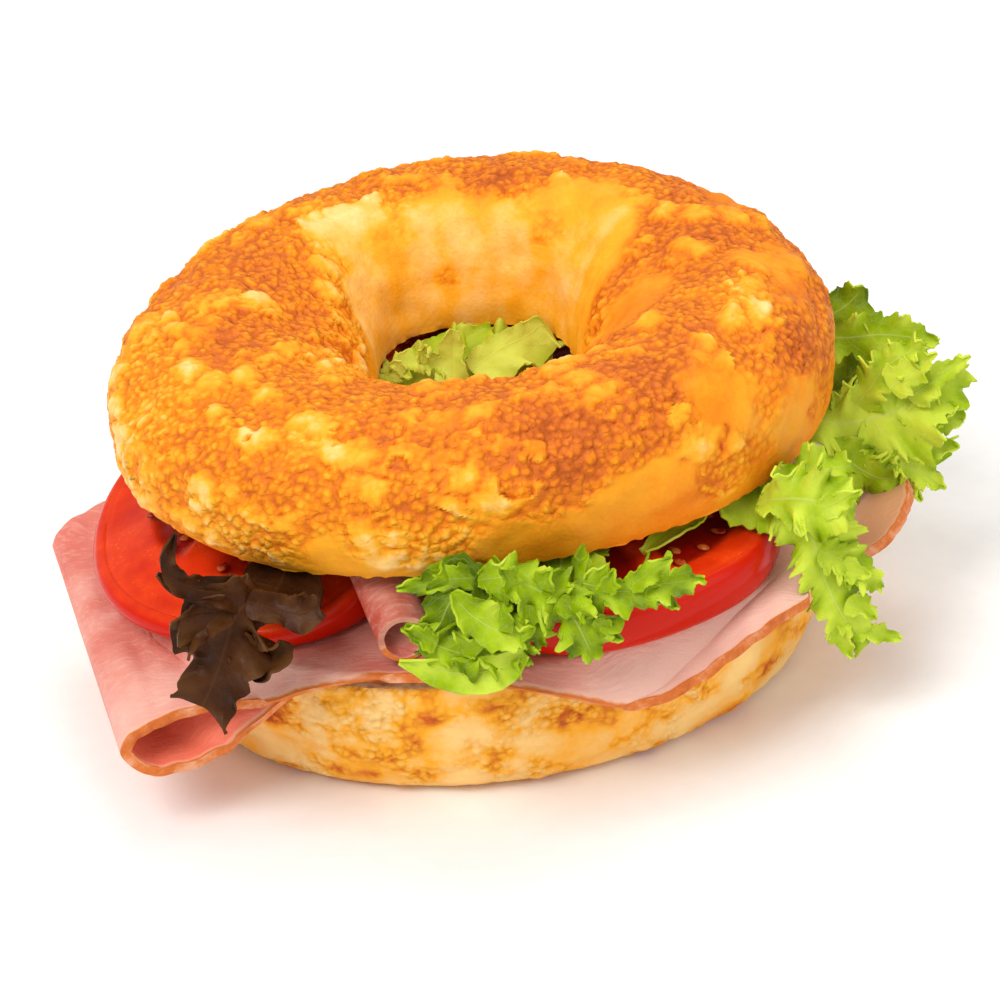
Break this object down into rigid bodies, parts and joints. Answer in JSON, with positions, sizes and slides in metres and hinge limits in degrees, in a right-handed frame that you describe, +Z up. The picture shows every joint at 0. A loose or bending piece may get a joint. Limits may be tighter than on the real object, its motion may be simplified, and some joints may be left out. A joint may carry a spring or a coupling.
{
  "type": "filled bagel sandwich",
  "caption": "Cheese-crusted bagel, split and filled with folded ham, tomato slices and frilly salad leaves that show at the rim and through the hole.",
  "frame": {"origin": "on the surface it stands on, under the middle of the outline seen from above", "axes": "+Z up through the hole; +X to the viewer's right along the longest side; -Y towards the viewer, where the rolled ham opens"},
  "size_m": [0.1526, 0.1386, 0.0633],
  "materials": {
    "crust_top": "golden baked bread crust with browned grated cheese, satin",
    "crust_bottom": "pale baked bread crust with orange-brown cheese patches, matt",
    "ham": "cooked ham, moist pink with an orange-brown rind edge",
    "ham_smoked": "cooked ham, paler and tan towards a browned rind",
    "tomato": "wet cut tomato with glossy red skin",
    "leaf_green": "fresh frilly green salad leaf, waxy sheen",
    "leaf_pale": "pale inner salad leaf, waxy sheen",
    "leaf_red": "dark red-brown oak-leaf salad, waxy sheen"
  },
  "bodies": {
    "root": {"bun_top": "crust_top", "bun_bottom": "crust_bottom", "ham_fold": "ham", "ham_right": "ham_smoked", "ham_roll": "ham", "tomato_left": "tomato", "tomato_right": "tomato", "tomato_back": "tomato", "leaf_red": "leaf_red", "leaf_front_left": "leaf_green", "leaf_front_mid": "leaf_green", "leaf_front_right": "leaf_green", "leaf_right_back": "leaf_green", "leaf_right_mid": "leaf_green", "leaf_right_low": "leaf_green", "leaf_back": "leaf_green", "leaf_back_left": "leaf_green", "leaf_hole": "leaf_pale", "leaf_peek": "leaf_pale"}
  },
  "joints": []
}
